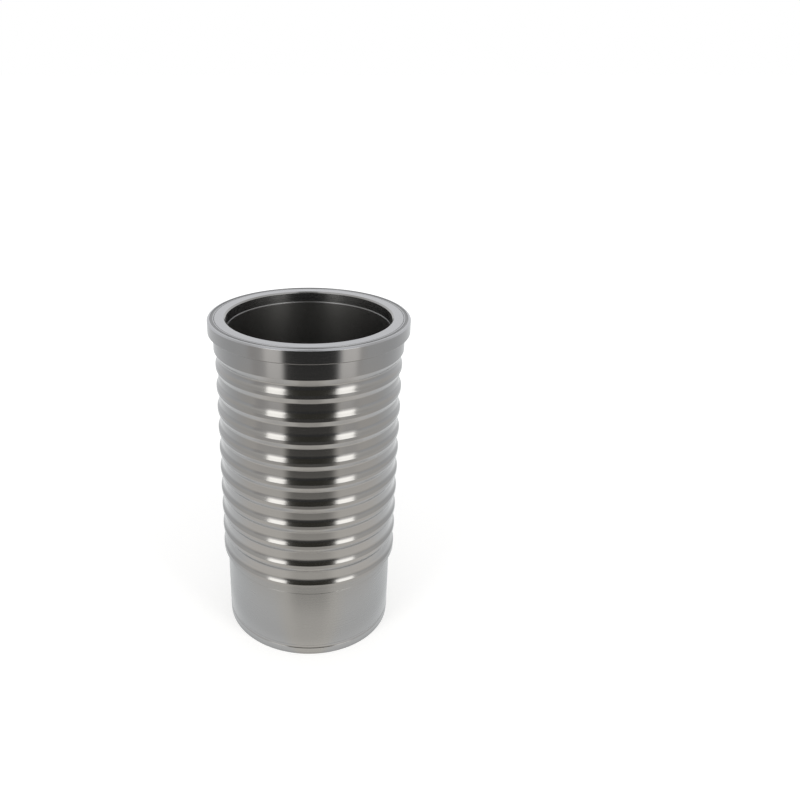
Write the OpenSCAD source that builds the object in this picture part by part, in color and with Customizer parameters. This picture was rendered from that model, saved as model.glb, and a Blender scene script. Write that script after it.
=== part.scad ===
// Wet cylinder liner of a large diesel engine.
// One turned casting: a collar that the cylinder head clamps, a locating land under it, a ribbed barrel
// that stands in the coolant, and a plain skirt that slides into the lower bore of the block.
// The liner stands on its lower end. Z runs up its axis and z = 0 is the lower end.

/* [Overall] */
// Length from the lower end to the top face
liner_length = 273.5; // [262:0.5:300]
// Diameter of the honed cylinder bore
bore_d = 128; // [120:0.5:129]

/* [Collar] */
// Outside diameter of the collar
collar_d = 158; // [156:0.5:175]
// Height of the collar, from its seat to the top face
collar_height = 11.2; // [9:0.1:16]
// Bevel on the collar's upper edge
collar_top_bevel = 0.9; // [0.4:0.1:1.2]
// Bevel on the collar's lower edge
collar_low_bevel = 0.8; // [0.3:0.1:1.2]

/* [Top face] */
// Outside diameter of the raised sealing land round the bore
seal_land_d = 147.6; // [142:0.1:149]
// Width of the sunk ring outside the sealing land
sunk_ring_width = 3; // [1.5:0.1:3.4]
// Depth of the sunk ring
sunk_ring_depth = 0.5; // [0.2:0.1:1]
// Distance of the fine sealing groove in from the edge of the sealing land
seal_groove_inset = 0.9; // [0.6:0.1:2]
// Width of the fine sealing groove, which is a V
seal_groove_width = 0.6; // [0.3:0.1:1]

/* [Recess in the bore mouth] */
// Diameter of the recess at the top of the bore
recess_d = 129.2; // [129.1:0.1:131]
// Depth of the recess, down to its small shoulder
recess_depth = 8.8; // [4:0.1:14]
// Bevel at the mouth of the recess
mouth_bevel = 0.4; // [0.2:0.1:1]
// Bevel where the bore runs out at the lower end
bore_end_bevel = 1; // [0.4:0.1:2]

/* [Locating land] */
// Diameter of the land that centres the liner under the collar
land_d = 150; // [148.6:0.1:150.4]
// Length of the land below the collar
land_length = 13; // [8:0.1:16]
// Slope at the foot of the land, measured from the liner's axis
land_foot_angle = 27.5; // [26:0.5:34]
// Radius at the lower shoulder of the land
land_shoulder_radius = 0.8; // [0.4:0.1:1.6]
// Radius of the fillet at the foot of the land
land_foot_radius = 3.5; // [1:0.1:4.5]

/* [Ribs] */
// Number of ribs
rib_count = 10; // [3:1:12]
// Distance from one rib to the next
rib_pitch = 18.25; // [15:0.05:20]
// Distance from the lower end of the land to the middle of the first rib
first_rib_gap = 13.65; // [13.45:0.05:18]
// Diameter over the ribs
crest_d = 148.1; // [147:0.1:148.6]
// Diameter of the barrel between the ribs
root_d = 144.6; // [144.4:0.1:145.2]
// Width of the flat crest of a rib
crest_flat = 2.3; // [1:0.1:2.6]
// Slope of a rib's upper flank, measured from the liner's axis
upper_flank_angle = 27.5; // [24:0.5:34]
// Slope of a rib's lower flank, measured from the liner's axis
lower_flank_angle = 24; // [22:0.5:34]
// Radius that rounds the upper shoulder of a rib
upper_shoulder_radius = 1; // [0.6:0.1:2]
// Radius that rounds the lower shoulder of a rib
lower_shoulder_radius = 1.5; // [0.6:0.1:2.4]
// Radius of the fillet at the foot of the upper flank
upper_root_radius = 9; // [3:0.1:10]
// Radius of the fillet at the foot of the lower flank
lower_root_radius = 3.4; // [2:0.1:7]

/* [Skirt] */
// Diameter of the skirt
skirt_d = 141.3; // [139:0.1:141.9]
// Length that the last rib's crest runs on towards the skirt
last_crest_run = 2; // [1:0.1:5]
// Slope of the step from the last rib down to the skirt
skirt_step_angle = 70; // [50:1:78]
// Radius at the shoulder and at the foot of that step
skirt_step_radius = 0.4; // [0.2:0.1:1.2]
// Length of the taper that leads the skirt into the block
lead_in_length = 5.6; // [3:0.1:15]
// How far the taper draws in the skirt's radius
lead_in_depth = 0.15; // [0.1:0.05:1.2]
// Depth of the shallow groove turned round the skirt above the taper
skirt_groove_depth = 0.4; // [0.2:0.05:0.6]
// Radius of that groove's rounded bottom
skirt_groove_radius = 3.4; // [2:0.1:4]

/* [Hidden] */
$fn = 180;

bore_r = bore_d / 2;
recess_r = recess_d / 2;
collar_r = collar_d / 2;
land_r = land_d / 2;
crest_r = crest_d / 2;
root_r = root_d / 2;
skirt_r = skirt_d / 2;
seal_land_r = seal_land_d / 2;

// Radius down to which the outside section is drawn; the bore then cuts it back
core_r = bore_r - 1;
// How far a cut runs past the face that it opens
cut_over = 1;
// Height of the middle of the groove above the lead-in taper
skirt_groove_rise = 2;

collar_z = liner_length - collar_height;
land_z = collar_z - land_length;
last_rib_z = rib_z(rib_count - 1);

// Height of the middle of a rib; the ribs are counted down from the collar
function rib_z(index) = land_z - first_rib_gap - index * rib_pitch;

// Axial length of a flank that falls from one radius to another, with its shoulder and its fillet
function flank_run(fall, angle, shoulder, foot) =
    (shoulder + foot) * sin(angle)
    + (fall - (shoulder + foot) * (1 - cos(angle))) / tan(angle);

// Largest fillet that still leaves a flank straight between its shoulder and its foot
function longest_foot(fall, angle, shoulder) = fall / (1 - cos(angle)) - shoulder;

// Half of a band that stands out from the barrel, as a section with the radius across and the height up.
// It runs up from height 0 with a flat top, rounds over a shoulder, falls along a straight flank
// and runs out in a fillet, which is drawn smaller where the flank has no room for it.
module half_band(flat, top_r, foot_r, angle, shoulder, wanted_foot) {
    foot = min(wanted_foot, longest_foot(top_r - foot_r, angle, shoulder));
    end = flat + flank_run(top_r - foot_r, angle, shoulder, foot);
    shoulder_end = [top_r - shoulder * (1 - cos(angle)), flat + shoulder * sin(angle)];
    fillet_start = [foot_r + foot * (1 - cos(angle)), end - foot * sin(angle)];
    difference() {
        union() {
            polygon([
                [core_r, 0],
                [top_r, 0],
                [top_r, flat],
                shoulder_end,
                fillet_start,
                [foot_r, end],
                [core_r, end]
            ]);
            translate([top_r - shoulder, flat]) circle(r = shoulder);
        }
        translate([foot_r + foot, end]) circle(r = foot);
    }
}

// Section of the collar with its two bevels
module collar_section() {
    polygon([
        [core_r, collar_z],
        [collar_r - collar_low_bevel, collar_z],
        [collar_r, collar_z + collar_low_bevel],
        [collar_r, liner_length - collar_top_bevel],
        [collar_r - collar_top_bevel, liner_length],
        [core_r, liner_length]
    ]);
}

// Section of the locating land, drawn down from the collar's seat
module land_section() {
    translate([0, collar_z]) mirror([0, 1])
        half_band(land_length, land_r, root_r, land_foot_angle, land_shoulder_radius, land_foot_radius);
}

// Section of the ribbed barrel; the last rib steps down to the skirt
module rib_section() {
    translate([core_r, last_rib_z]) square([root_r - core_r, land_z - last_rib_z]);
    for (index = [0 : rib_count - 1])
        translate([0, rib_z(index)])
            half_band(crest_flat / 2, crest_r, root_r, upper_flank_angle,
                upper_shoulder_radius, upper_root_radius);
    for (index = [0 : rib_count - 2])
        translate([0, rib_z(index)]) mirror([0, 1])
            half_band(crest_flat / 2, crest_r, root_r, lower_flank_angle,
                lower_shoulder_radius, lower_root_radius);
    translate([0, last_rib_z]) mirror([0, 1])
        half_band(crest_flat / 2 + last_crest_run, crest_r, skirt_r,
            skirt_step_angle, skirt_step_radius, skirt_step_radius);
}

// Section of the skirt with its lead-in taper and the shallow groove above it
module skirt_section() {
    difference() {
        polygon([
            [core_r, 0],
            [skirt_r - lead_in_depth, 0],
            [skirt_r, lead_in_length],
            [skirt_r, last_rib_z],
            [core_r, last_rib_z]
        ]);
        translate([skirt_r - skirt_groove_depth + skirt_groove_radius, lead_in_length + skirt_groove_rise])
            circle(r = skirt_groove_radius);
    }
}

// Section of the bore: bevel at the lower end, honed cylinder, small sloping shoulder, recess, mouth bevel
module bore_section() {
    recess_z = liner_length - recess_depth;
    polygon([
        [0, -cut_over],
        [bore_r + bore_end_bevel + cut_over, -cut_over],
        [bore_r, bore_end_bevel],
        [bore_r, recess_z - (recess_r - bore_r)],
        [recess_r, recess_z],
        [recess_r, liner_length - mouth_bevel],
        [recess_r + mouth_bevel + cut_over, liner_length + cut_over],
        [0, liner_length + cut_over]
    ]);
}

// Section of the cuts in the top face: the sunk ring and the fine V groove inside it
module top_face_cuts() {
    groove_r = seal_land_r - seal_groove_inset;
    half_groove = seal_groove_width / 2;
    translate([seal_land_r, liner_length - sunk_ring_depth])
        square([sunk_ring_width, sunk_ring_depth + cut_over]);
    polygon([
        [groove_r, liner_length - half_groove],
        [groove_r + half_groove + cut_over, liner_length + cut_over],
        [groove_r - half_groove - cut_over, liner_length + cut_over]
    ]);
}

module cylinder_liner() {
    color([0.55, 0.54, 0.52])
        rotate_extrude()
            difference() {
                union() {
                    collar_section();
                    land_section();
                    rib_section();
                    skirt_section();
                }
                bore_section();
                top_face_cuts();
            }
}

cylinder_liner();
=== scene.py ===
import bpy
import numpy as np
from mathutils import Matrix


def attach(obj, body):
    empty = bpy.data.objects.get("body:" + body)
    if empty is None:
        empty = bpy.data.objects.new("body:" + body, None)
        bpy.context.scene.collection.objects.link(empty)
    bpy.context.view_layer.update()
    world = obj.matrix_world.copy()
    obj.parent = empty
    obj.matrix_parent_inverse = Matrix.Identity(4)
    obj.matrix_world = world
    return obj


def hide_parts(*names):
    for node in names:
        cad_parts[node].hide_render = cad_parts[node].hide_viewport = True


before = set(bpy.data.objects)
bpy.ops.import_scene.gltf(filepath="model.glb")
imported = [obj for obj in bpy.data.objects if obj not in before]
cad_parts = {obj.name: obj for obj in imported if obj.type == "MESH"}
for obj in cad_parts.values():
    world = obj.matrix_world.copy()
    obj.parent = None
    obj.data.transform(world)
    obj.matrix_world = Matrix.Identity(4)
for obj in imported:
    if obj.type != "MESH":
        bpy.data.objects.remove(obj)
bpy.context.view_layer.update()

# The liner
# One casting of fine-grained grey iron, turned all over on a lathe: a collar that the cylinder head clamps,
# a locating land, ten rounded ribs that stand in the coolant, and a plain skirt. The bore is honed and the top
# is ground. The section is drawn in millimetres as one closed outline and turned round the axis.
MM = 0.001
SEGMENTS = 256
LONGEST_SPAN = 14.0
# The faced finish is rough, and its darker colour also paints shade into the sunk ring, the V groove, the ledge
# and the lower end
TURNED, HONED, GROUND, FACED_PAINTED_SHADE, SKIRT, BORED = range(6)

LENGTH = 273.5
BORE_R = 64.0
RECESS_R = 64.45
COLLAR_R = 79.0
COLLAR_Z = LENGTH - 11.2
LAND_R = 75.0
LAND_Z = COLLAR_Z - 13.0
SKIRT_R = 70.65

CREST_R = 74.05
ROOT_R = 72.3
RIB_COUNT = 10
RIB_PITCH = 18.25
FIRST_RIB_GAP = 13.4
RIB_Z = LAND_Z - FIRST_RIB_GAP - RIB_PITCH * np.arange(RIB_COUNT - 1, -1, -1)
# Each flank has a slope from the axis, half of the crest's flat, a shoulder radius and a fillet radius
UPPER_SLOPE, UPPER_FLAT, UPPER_SHOULDER, UPPER_FILLET = np.radians(27.5), 0.9, 1.0, 9.0
LOWER_SLOPE, LOWER_FLAT, LOWER_SHOULDER, LOWER_FILLET = np.radians(24.0), 1.4, 1.5, 3.4


def corner_lines(rows):
    """Corners of the outline as an array with a row each: distance from the axis, height, edge radius,
    number of points on its arc, and the finish of the surface that starts at it."""
    return np.array(rows, float).reshape(-1, 5)


def flank_corners(flat, shoulder, slope):
    """Distances from a rib's middle to the corners at which a flank leaves the crest's line and meets the
    barrel's: half of the crest's flat width plus the shoulder radius times the tangent of half the slope, and
    the rib's height divided by the slope's tangent further on."""
    crest_at = flat + shoulder * np.tan(slope / 2)
    return crest_at, crest_at + (CREST_R - ROOT_R) / np.tan(slope)


def rib_corners(middle):
    """Corners of whole ribs, for an array of middle heights."""
    low_crest, low_foot = flank_corners(LOWER_FLAT, LOWER_SHOULDER, LOWER_SLOPE)
    high_crest, high_foot = flank_corners(UPPER_FLAT, UPPER_SHOULDER, UPPER_SLOPE)
    out = np.zeros((len(middle), 4, 5))
    out[:, :, 0] = [ROOT_R, CREST_R, CREST_R, ROOT_R]
    out[:, :, 1] = middle[:, None] + np.array([-low_foot, -low_crest, high_crest, high_foot])
    out[:, :, 2] = [LOWER_FILLET, LOWER_SHOULDER, UPPER_SHOULDER, UPPER_FILLET]
    out[:, :, 3] = [7, 5, 5, 8]
    out[:, :, 4] = TURNED
    return out.reshape(-1, 5)


def rounded_outline(corners):
    """Closed outline, with the outward normal and the finish at each of its points. Every corner becomes an arc
    that is tangent to both of its sides: it starts the edge radius times the tangent of half the turn before
    the corner, and its normal swings evenly from the first side's to the second's. Long straight spans then
    get points in between."""
    at = corners[:, :2]
    edge = corners[:, 2]
    count = corners[:, 3].astype(int)
    came = at - np.roll(at, 1, 0)
    came /= np.linalg.norm(came, axis=1, keepdims=True)
    goes = np.roll(came, -1, 0)
    turn = np.arctan2(came[:, 0] * goes[:, 1] - came[:, 1] * goes[:, 0], (came * goes).sum(1))
    which = np.repeat(np.arange(len(at)), count)
    step = np.arange(len(which)) - np.repeat(np.cumsum(count) - count, count)
    share = step / np.maximum(count[which] - 1, 1)
    start_angle = np.arctan2(-came[:, 0], came[:, 1])
    angle = start_angle[which] + share * turn[which]
    normal = np.stack([np.cos(angle), np.sin(angle)], 1)
    first = np.stack([np.cos(start_angle), np.sin(start_angle)], 1)
    begin = at - came * (edge * np.tan(np.abs(turn) / 2))[:, None]
    signed_edge = (np.sign(turn) * edge)[which, None]
    points = begin[which] + signed_edge * (normal - first[which])
    finish = corners[which, 4].astype(int)
    span = np.roll(points, -1, 0) - points
    parts = np.maximum(np.ceil(np.linalg.norm(span, axis=1) / LONGEST_SPAN).astype(int), 1)
    owner = np.repeat(np.arange(len(points)), parts)
    within = (np.arange(len(owner)) - np.repeat(np.cumsum(parts) - parts, parts)) / parts[owner]
    return points[owner] + span[owner] * within[:, None], normal[owner], finish[owner]


last = RIB_Z[0]
last_crest, last_foot = flank_corners(UPPER_FLAT, UPPER_SHOULDER, UPPER_SLOPE)
# The last crest runs further down than the others, and 0.28 more to the corner that its edge rounds off
step_top = last - 3.4 - 0.28
step_foot = step_top - 1.274
relief_r = SKIRT_R - 0.11
land_edge = 0.8
land_shoulder = LAND_Z - land_edge * np.tan(UPPER_SLOPE / 2)
land_foot = land_shoulder - (LAND_R - ROOT_R) / np.tan(UPPER_SLOPE)
sunk_z = LENGTH - 0.35
section = np.vstack([
    # Lower end, lead-in taper, the shallow round groove above it, and the skirt
    corner_lines([
        [70.5, 0.0, 0.25, 3, SKIRT],
        [SKIRT_R, 5.5, 0.5, 2, SKIRT],
        [SKIRT_R, 6.0, 0.15, 3, TURNED],
        [SKIRT_R - 0.853, 7.6, 3.2, 7, TURNED],
        [SKIRT_R, 9.2, 0.15, 3, SKIRT],
        # Faint relief below the last rib
        [SKIRT_R, 61.45, 0.3, 3, SKIRT],
        [relief_r, 61.7, 0.3, 3, SKIRT],
        # Step from the skirt to the last rib, whose crest narrows a little towards it
        [relief_r, step_foot, 0.4, 4, TURNED],
        [CREST_R - 0.1, step_top, 0.4, 4, SKIRT],
        [CREST_R, last - 0.9, 0.5, 2, TURNED],
        [CREST_R, last + last_crest, UPPER_SHOULDER, 5, TURNED],
        [ROOT_R, last + last_foot, UPPER_FILLET, 8, TURNED],
    ]),
    rib_corners(RIB_Z[1:]),
    # Foot of the locating land, the land, the collar and its two bevels
    corner_lines([
        [ROOT_R, land_foot, 3.5, 7, TURNED],
        [LAND_R, land_shoulder, land_edge, 5, TURNED],
        [LAND_R, COLLAR_Z, 0.25, 3, TURNED],
        [COLLAR_R - 0.8, COLLAR_Z, 0.12, 3, TURNED],
        [COLLAR_R, COLLAR_Z + 0.8, 0.12, 3, TURNED],
        [COLLAR_R, LENGTH - 0.95, 0.25, 4, GROUND],
        [COLLAR_R - 1.1, LENGTH, 0.2, 3, GROUND],
        # Outer ring of the top face, the sunk ring, the sealing land and its fine V groove
        [76.8, LENGTH, 0.12, 3, FACED_PAINTED_SHADE],
        [76.7, sunk_z, 0.08, 3, FACED_PAINTED_SHADE],
        [74.8, sunk_z, 0.08, 3, FACED_PAINTED_SHADE],
        [74.6, LENGTH, 0.2, 3, GROUND],
        [73.9, LENGTH, 0.04, 2, FACED_PAINTED_SHADE],
        [73.6, LENGTH - 0.3, 0.06, 3, FACED_PAINTED_SHADE],
        [73.3, LENGTH, 0.04, 2, GROUND],
        # Mouth bevel, recess, small shoulder, bore and the bevel at its lower end
        [RECESS_R + 1.5, LENGTH, 0.2, 4, TURNED],
        [RECESS_R + 0.35, LENGTH - 1.15, 0.15, 3, BORED],
        [RECESS_R, LENGTH - 8.4, 0.1, 3, FACED_PAINTED_SHADE],
        [BORE_R, LENGTH - 9.2, 0.1, 3, HONED],
        [BORE_R, 1.0, 0.12, 3, TURNED],
        [BORE_R + 1.0, 0.0, 0.12, 3, FACED_PAINTED_SHADE],
    ]),
])
outline, outline_normal, outline_finish = rounded_outline(section)


def turned_body(name, outline, normal, finish):
    """Mesh of an outline turned once round the Z axis. With a the angle round the axis, a point stands at
    (r cos a, r sin a, z), its normal turns with it, and the UV map has the share of the turn across and the
    share of the outline's length up."""
    rings = len(outline)
    angle = np.linspace(0, 2 * np.pi, SEGMENTS, endpoint=False)
    around = np.stack([np.cos(angle), np.sin(angle)], 1)
    r, z = outline.T * MM
    points = np.empty((rings, SEGMENTS, 3))
    points[..., :2] = r[:, None, None] * around
    points[..., 2] = z[:, None]
    normals = np.empty_like(points)
    normals[..., :2] = normal[:, None, None, 0] * around
    normals[..., 2] = normal[:, None, 1]
    ring = np.arange(rings)[:, None]
    seg = np.arange(SEGMENTS)[None, :]
    up, over = (ring + 1) % rings, (seg + 1) % SEGMENTS
    faces = np.stack([
        ring * SEGMENTS + seg, ring * SEGMENTS + over, up * SEGMENTS + over, up * SEGMENTS + seg,
    ], -1).reshape(-1, 4)
    mesh = bpy.data.meshes.new(name)
    mesh.from_pydata(points.reshape(-1, 3), [], faces)
    length = np.r_[0, np.cumsum(np.linalg.norm(np.diff(outline, axis=0, append=outline[:1]), axis=1))]
    length /= length[-1]
    u0, v0 = np.broadcast_arrays(seg / SEGMENTS, length[:-1, None])
    u1, v1 = np.broadcast_arrays((seg + 1) / SEGMENTS, length[1:, None])
    uv = np.stack([u0, v0, u1, v0, u1, v1, u0, v1], -1)
    mesh.uv_layers.new(name="turned").data.foreach_set("uv", uv.ravel())
    mesh.polygons.foreach_set("material_index", np.repeat(finish, SEGMENTS))
    mesh.polygons.foreach_set("use_smooth", np.ones(len(faces), bool))
    mesh.normals_split_custom_set_from_vertices(normals.reshape(-1, 3))
    mesh.update()
    piece = bpy.data.objects.new(name, mesh)
    bpy.context.scene.collection.objects.link(piece)
    return piece


liner = turned_body("turned_liner", outline, outline_normal, outline_finish)


def add_node(tree, kind, inputs=(), **settings):
    """A new node with its settings. Each of inputs is (name or number of an input, a value or a socket)."""
    node = tree.nodes.new(kind)
    for key, value in settings.items():
        setattr(node, key, value)
    for key, value in inputs:
        if isinstance(value, bpy.types.NodeSocket):
            tree.links.new(value, node.inputs[key])
        else:
            node.inputs[key].default_value = value
    return node


def calculate(tree, operation, *values):
    """Result of a math node. Each value is a number or a socket."""
    return add_node(tree, "ShaderNodeMath", list(enumerate(values)), operation=operation).outputs[0]


def crossing_lines(tree, along, lines_up, lines_round):
    """Mean of two noises in bands that slant opposite ways: each is noise of the outline's length times the
    first count, minus or plus the turn times the second."""
    sets = []
    for lean in (-lines_round, lines_round):
        slant = calculate(tree, "MULTIPLY", along.outputs["X"], lean)
        cross = calculate(tree, "MULTIPLY_ADD", along.outputs["Y"], lines_up, slant)
        band = add_node(tree, "ShaderNodeTexNoise", [("W", cross), ("Scale", 1.0), ("Detail", 2.0)],
                        noise_dimensions="1D")
        sets.append(band.outputs["Fac"])
    mean = add_node(tree, "ShaderNodeMix", [("Factor", 0.5), ("A", sets[0]), ("B", sets[1])])
    return mean.outputs["Result"]


def iron_finish(name, colour, tint, shine, mark_depth, spread, hatch=()):
    """Bare iron with the fine rings that a tool leaves. The rings are noise read along the outline's length,
    drawn out round the axis, and they lift the surface, shade the colour and vary the roughness. A hatch of
    (lines along the outline, lines round the axis) puts crossing lines in their place."""
    ring_scale = 900.0
    streak_scale = 2.5
    material = bpy.data.materials.new(name)
    material.use_nodes = True
    tree = material.node_tree
    tree.nodes.clear()
    place = add_node(tree, "ShaderNodeTexCoord").outputs["Object"]
    level = add_node(tree, "ShaderNodeVectorMath", [(0, place), (1, (1, 1, 0))], operation="MULTIPLY")
    spoke = add_node(tree, "ShaderNodeVectorMath", [(0, level.outputs[0])], operation="NORMALIZE")
    across = add_node(tree, "ShaderNodeVectorMath", [(0, spoke.outputs[0]), ("Scale", streak_scale)],
                      operation="SCALE")
    unrolled = add_node(tree, "ShaderNodeUVMap", uv_map="turned")
    along = add_node(tree, "ShaderNodeSeparateXYZ", [(0, unrolled.outputs[0])])
    height = add_node(tree, "ShaderNodeCombineXYZ", [("Z", along.outputs["Y"])])
    upward = add_node(tree, "ShaderNodeVectorMath", [(0, height.outputs[0]), ("Scale", ring_scale)],
                      operation="SCALE")
    rings_at = add_node(tree, "ShaderNodeVectorMath", [(0, across.outputs[0]), (1, upward.outputs[0])],
                        operation="ADD")
    rings = add_node(tree, "ShaderNodeTexNoise", [("Vector", rings_at.outputs[0]), ("Scale", 1.0),
                                                  ("Detail", 3.0), ("Roughness", 0.6)])
    marks = crossing_lines(tree, along, *hatch) if hatch else rings.outputs["Fac"]
    cloud = add_node(tree, "ShaderNodeTexNoise", [("Vector", place), ("Scale", 14.0), ("Detail", 4.0)])
    both = calculate(tree, "ADD", marks, cloud.outputs["Fac"])
    shade = add_node(tree, "ShaderNodeMapRange", [("Value", both), ("From Min", 0.7), ("From Max", 1.3)])
    hue = add_node(tree, "ShaderNodeMix",
                   [("Factor", shade.outputs[0]), ("A", (*colour, 1)), ("B", (*tint, 1))], data_type="RGBA")
    rough = add_node(tree, "ShaderNodeMapRange", [("Value", both), ("From Min", 0.7), ("From Max", 1.3),
                                                  ("To Min", shine[0]), ("To Max", shine[1])])
    lift = add_node(tree, "ShaderNodeBump", [("Height", marks), ("Strength", 1.0), ("Distance", mark_depth)])
    spin = add_node(tree, "ShaderNodeTangent", direction_type="UV_MAP", uv_map="turned")
    skin = add_node(tree, "ShaderNodeBsdfPrincipled", [
        ("Base Color", hue.outputs["Result"]), ("Roughness", rough.outputs[0]), ("Metallic", 1.0),
        ("Anisotropic", spread), ("Anisotropic Rotation", 0.25),
        ("Normal", lift.outputs[0]), ("Tangent", spin.outputs[0]),
    ])
    add_node(tree, "ShaderNodeOutputMaterial", [("Surface", skin.outputs[0])])
    return material


for finish in (
    iron_finish("turned_iron", (0.331, 0.328, 0.327), (0.339, 0.336, 0.335), (0.16, 0.19), 1.6e-7, 0.5),
    iron_finish("honed_iron", (0.265, 0.264, 0.262), (0.310, 0.309, 0.307), (0.31, 0.37), 1.2e-6, 0.5,
                hatch=(1088.0, 340.0)),
    iron_finish("ground_iron", (0.405, 0.410, 0.428), (0.425, 0.430, 0.448), (0.20, 0.26), 2.5e-7, 0.3),
    # Rough faced iron whose darker colour also paints the shade in the sunk ring, the V groove, the ledge in
    # the bore and the lower end face
    iron_finish("faced_iron_painted_shade", (0.22, 0.223, 0.23), (0.26, 0.263, 0.27), (0.38, 0.46), 3e-7, 0.3),
    iron_finish("skirt_iron", (0.333, 0.333, 0.333), (0.341, 0.341, 0.341), (0.25, 0.28), 1.2e-7, 0.3),
    iron_finish("bored_iron", (0.215, 0.215, 0.215), (0.24, 0.24, 0.24), (0.25, 0.29), 2e-7, 0.65),
):
    liner.data.materials.append(finish)
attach(liner, "root")
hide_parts("cylinder_liner")

# Floor
# A plain white sheet. To the eye it is white with the liner's own soft shadow. In the metal it shows a painted
# reflection of light and shade: dark under the liner itself, bright near it, with a darker ring at nearly two
# radii of the collar. Further out it is bright at the sides and behind, and dark in front, under the camera.
# Distances on it are counted in radii of the collar.
RADIUS = COLLAR_R * MM
FLOOR_HALF = 30.0
RAMP_END = 24.0
GAP_TURN = 2.4
floor_mesh = bpy.data.meshes.new("floor")
floor_mesh.from_pydata(
    [(-FLOOR_HALF, -FLOOR_HALF, 0), (FLOOR_HALF, -FLOOR_HALF, 0), (FLOOR_HALF, FLOOR_HALF, 0),
     (-FLOOR_HALF, FLOOR_HALF, 0)], [], [(0, 1, 2, 3)])
floor = bpy.data.objects.new("floor", floor_mesh)
bpy.context.scene.collection.objects.link(floor)
sheet = bpy.data.materials.new("white_sheet_painted_reflection")
sheet.use_nodes = True
tree = sheet.node_tree
tree.nodes.clear()


def grey_ramp(tree, reach, stops):
    """A curve of grey levels over the distance from the axis: each stop is (distance, level)."""
    share = add_node(tree, "ShaderNodeMath", [(0, reach), (1, RAMP_END)], operation="DIVIDE", use_clamp=True)
    ramp = add_node(tree, "ShaderNodeValToRGB", [(0, share.outputs[0])])
    marks = ramp.color_ramp.elements
    while len(marks) < len(stops):
        marks.new(0.5)
    for mark, (at, level) in zip(marks, stops):
        mark.position = at / RAMP_END
        mark.color = (level, level, level, 1)
    return ramp.outputs["Color"]


def bearing(tree, vector):
    """The angle round the axis in degrees, counted from the camera's side: the arctangent of x over -y. The
    vector's parts come with it."""
    parts = add_node(tree, "ShaderNodeSeparateXYZ", [(0, vector)])
    near = calculate(tree, "MULTIPLY", parts.outputs["Y"], -1.0)
    return calculate(tree, "DEGREES", calculate(tree, "ARCTAN2", parts.outputs["X"], near)), parts


def away_from(tree, turn, middle):
    """How far a bearing is from a middle one, to either side."""
    return calculate(tree, "ABSOLUTE", calculate(tree, "SUBTRACT", turn, middle))


def soft_step(tree, value, low, high):
    """Rises smoothly from 0 at low to 1 at high."""
    node = add_node(tree, "ShaderNodeMapRange", [("Value", value), ("From Min", low), ("From Max", high)],
                    interpolation_type="SMOOTHSTEP")
    return node.outputs[0]


def blend_of(tree, share, first, second, kind="MIX"):
    """Mix of two colours by a share from 0 to 1."""
    return add_node(tree, "ShaderNodeMix", [("Factor", share), (6, first), (7, second)],
                    data_type="RGBA", blend_type=kind).outputs[2]


def product(tree, *shares):
    """All the shares multiplied together."""
    out = shares[0]
    for share in shares[1:]:
        out = calculate(tree, "MULTIPLY", out, share)
    return out


def mirrored_share(tree):
    """1 for what is mirrored or seen through something clear, and 0 otherwise, with the kinds of ray."""
    path = add_node(tree, "ShaderNodeLightPath")
    share = calculate(tree, "MAXIMUM", path.outputs["Is Glossy Ray"], path.outputs["Is Transmission Ray"])
    return share, path


where = add_node(tree, "ShaderNodeTexCoord").outputs["Object"]
distance = add_node(tree, "ShaderNodeVectorMath", [(0, where)], operation="LENGTH")
reach = calculate(tree, "DIVIDE", distance.outputs["Value"], RADIUS)
from_front = add_node(tree, "ShaderNodeVectorMath", [(0, where), (1, (0, 0.8 * RADIUS, 0))], operation="ADD")
turn, _ = bearing(tree, from_front.outputs[0])
aside = away_from(tree, turn, GAP_TURN)
front = grey_ramp(tree, reach, [
    (0.80, 0.05), (0.88, 1.1), (1.03, 1.02), (1.10, 0.88), (1.64, 0.91), (1.76, 0.50), (1.98, 0.43),
    (2.08, 0.82), (2.22, 0.92), (2.35, 0.93), (2.65, 0.75), (3.1, 0.65), (3.6, 0.47), (4.1, 0.31),
    (4.7, 0.17), (5.3, 0.095), (7.0, 0.07), (9.0, 0.06),
])
side = grey_ramp(tree, reach, [
    (0.80, 0.05), (0.88, 1.1), (1.03, 1.04), (1.10, 0.92), (1.60, 1.02), (1.74, 0.97), (1.84, 0.83),
    (2.00, 0.83), (2.08, 1.01), (2.2, 1.13), (2.3, 1.16), (2.5, 1.03), (3.0, 1.01), (3.6, 0.99),
    (4.1, 0.94), (5.0, 0.81), (6.5, 0.75), (9.0, 0.70), (15.0, 0.78),
])
back = grey_ramp(tree, reach, [
    (0.80, 0.05), (0.88, 1.0), (1.03, 1.0), (1.10, 0.86), (1.6, 0.98), (1.84, 0.80), (2.00, 0.80),
    (2.3, 1.0), (4.1, 1.0), (5.4, 0.93), (7.0, 0.88), (9.8, 0.82), (14.0, 0.94), (20.0, 0.98),
])
side = blend_of(tree, soft_step(tree, aside, 92.0, 138.0), side, back)
# The dark front has a soft edge near the liner and a sharper one further out
edge = add_node(tree, "ShaderNodeMix", [
    ("Factor", soft_step(tree, reach, 3.6, 5.4)),
    ("A", soft_step(tree, aside, 22.0, 44.0)),
    ("B", soft_step(tree, aside, 27.5, 40.0)),
])
seen = blend_of(tree, edge.outputs["Result"], front, side)
# The painted reflection is warm in front and beside, and cool behind and far off
tint = blend_of(tree, soft_step(tree, reach, 1.5, 2.2), (1.0, 1.003, 0.997, 1), (1.045, 1.004, 0.945, 1))
tint = blend_of(tree, soft_step(tree, aside, 80.0, 118.0), tint, (0.985, 1.003, 1.012, 1))
tint = blend_of(tree, soft_step(tree, aside, 72.0, 42.0), tint, (1.048, 1.010, 0.940, 1))
tint = blend_of(tree, soft_step(tree, reach, 7.0, 10.0), tint, (0.985, 1.0, 1.015, 1))
seen = blend_of(tree, 1.0, seen, tint, "MULTIPLY")
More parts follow.
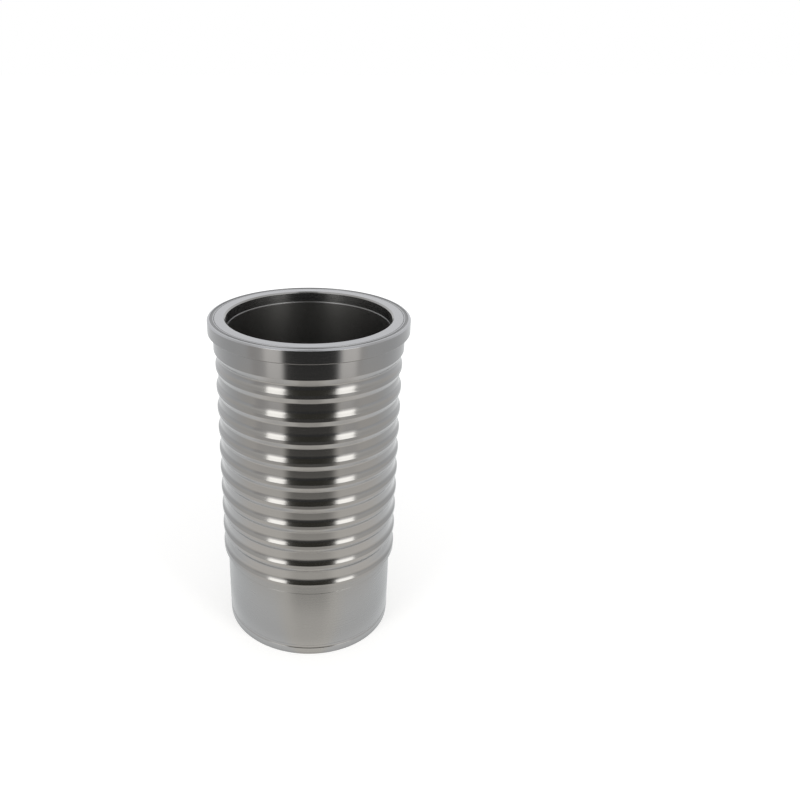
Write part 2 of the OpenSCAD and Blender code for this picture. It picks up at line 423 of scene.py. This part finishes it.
# Painted shade darkens the sheet under both soft boxes, and in a strip left of them. Further out a painted pool
# of their light brightens it again.
from_middle = away_from(tree, turn, 3.5)
painted_box_shade = product(tree, soft_step(tree, reach, 4.4, 5.6), soft_step(tree, from_middle, 37.0, 45.0),
                 soft_step(tree, from_middle, 68.0, 56.0))
seen = blend_of(tree, painted_box_shade, seen, (0.665, 0.65, 0.63, 1))
painted_shade_strip = product(tree, soft_step(tree, reach, 4.4, 6.5), soft_step(tree, turn, -75.0, -67.0),
                     soft_step(tree, turn, -54.0, -61.0))
seen = blend_of(tree, painted_shade_strip, seen, (0.62, 0.605, 0.59, 1))
painted_box_light = product(tree, soft_step(tree, reach, 6.3, 10.0), soft_step(tree, from_middle, 31.5, 37.0),
                 soft_step(tree, from_middle, 58.5, 51.5))
seen = blend_of(tree, painted_box_light, seen, (1.18, 1.15, 1.11, 1))
# Glossy rays see this emission, the painted reflection of light and shade, in place of the white sheet
painted_reflection = add_node(tree, "ShaderNodeEmission", [("Color", seen)])
paper = add_node(tree, "ShaderNodeBsdfDiffuse", [("Color", (0.88, 0.88, 0.88, 1))])
glow_level = add_node(tree, "ShaderNodeMapRange", [("Value", soft_step(tree, reach, 3.0, 14.0)),
                                                   ("To Min", 0.42), ("To Max", 0.60)])
glow = add_node(tree, "ShaderNodeEmission", [("Strength", glow_level.outputs[0])])
lit = add_node(tree, "ShaderNodeAddShader", [(0, paper.outputs[0]), (1, glow.outputs[0])])
mirrored, _ = mirrored_share(tree)
top = add_node(tree, "ShaderNodeMixShader", [(0, mirrored), (1, lit.outputs[0]), (2, painted_reflection.outputs[0])])
add_node(tree, "ShaderNodeOutputMaterial", [("Surface", top.outputs[0])])
sheet.cycles.emission_sampling = "NONE"
floor_mesh.materials.append(sheet)

# Surroundings
# A white studio. In the metal its walls are grey beside the liner and white behind it. The camera's side is
# dark, from the floor up to a light ceiling.
world = bpy.data.worlds.new("studio")
bpy.context.scene.world = world
world.use_nodes = True
world.cycles.sampling_method = "NONE"
tree = world.node_tree
tree.nodes.clear()
look = add_node(tree, "ShaderNodeTexCoord")
turn, parts = bearing(tree, look.outputs["Generated"])
aside = away_from(tree, turn, GAP_TURN)
rise = calculate(tree, "DEGREES", calculate(tree, "ARCSINE", parts.outputs["Z"]))
beside = soft_step(tree, aside, 28.0, 30.0)
behind = soft_step(tree, aside, 95.0, 135.0)
side_ceiling = product(tree, soft_step(tree, rise, 45.0, 65.0), beside)
above = calculate(tree, "MAXIMUM", side_ceiling, soft_step(tree, rise, 73.0, 79.0))
wall = blend_of(tree, soft_step(tree, rise, 8.0, 32.0), (0.845, 0.828, 0.795, 1), (0.655, 0.638, 0.610, 1))
walls = blend_of(tree, behind, wall, (1, 1, 1, 1))
shell = blend_of(tree, beside, (0.066, 0.063, 0.0525, 1), walls)
room = blend_of(tree, above, shell, (1, 1, 1, 1))
mirrored, path = mirrored_share(tree)
plain = blend_of(tree, path.outputs["Is Camera Ray"], (0.62, 0.62, 0.62, 1), (1, 1, 1, 1))
sky = blend_of(tree, mirrored, plain, room)
background = add_node(tree, "ShaderNodeBackground", [("Color", sky)])
add_node(tree, "ShaderNodeOutputWorld", [("Surface", background.outputs[0])])

# Softboxes
# Two tall soft boxes stand left and right of the camera and draw the pair of highlights down the ribs. Each
# fades out at its lower end and is a little dimmer towards its top.
BOX_FAR = 1.1
BOX_LOW, BOX_HIGH = 0.02, 1.9
BOX_HALF_TURN = 10.9
BOX_LEVEL = 2.0
for side_name, side_turn, lean in (("left", -41.6, -7.3), ("right", 44.85, 3.0)):
    lamp = bpy.data.lights.new("softbox_" + side_name, "AREA")
    lamp.shape = "RECTANGLE"
    lamp.size = 2 * BOX_FAR * np.tan(np.radians(BOX_HALF_TURN))
    lamp.size_y = BOX_HIGH - BOX_LOW
    lamp.color = (1.0, 0.985, 0.94)
    lamp.energy = BOX_LEVEL * np.pi * lamp.size * lamp.size_y
    lamp.use_nodes = True
    tree = lamp.node_tree
    tree.nodes.clear()
    spot = add_node(tree, "ShaderNodeNewGeometry")
    up_box = add_node(tree, "ShaderNodeSeparateXYZ", [(0, spot.outputs["Parametric"])]).outputs["Y"]
    fade = add_node(tree, "ShaderNodeMapRange", [("Value", up_box), ("From Min", 0.15), ("From Max", 0.6),
                                                 ("To Min", 1.02), ("To Max", 0.92)])
    level = product(tree, soft_step(tree, up_box, 0.0, 0.15), fade.outputs[0])
    cloth = add_node(tree, "ShaderNodeEmission", [("Strength", level)])
    add_node(tree, "ShaderNodeOutputLight", [("Surface", cloth.outputs[0])])
    box = bpy.data.objects.new(lamp.name, lamp)
    side_angle = np.radians(side_turn)
    box.location = (np.sin(side_angle) * BOX_FAR, -np.cos(side_angle) * BOX_FAR, (BOX_LOW + BOX_HIGH) / 2)
    box.rotation_euler = (np.radians(90.0), np.radians(lean), side_angle)
    box.visible_camera = False
    bpy.context.scene.collection.objects.link(box)

# Camera
# It stands over half a metre off and looks down on the liner, which is left of the frame's middle.
eye = bpy.data.cameras.new("camera")
eye.sensor_width = 36.0
eye.lens = 34.03
eye.shift_x = 0.114
eye.shift_y = -0.0156
camera = bpy.data.objects.new("camera", eye)
camera.location = (0, -0.5633, 0.4536)
camera.rotation_euler = (np.radians(66.78), 0, 0)
bpy.context.scene.collection.objects.link(camera)
bpy.context.scene.camera = camera
bpy.context.scene.view_settings.view_transform = "Standard"
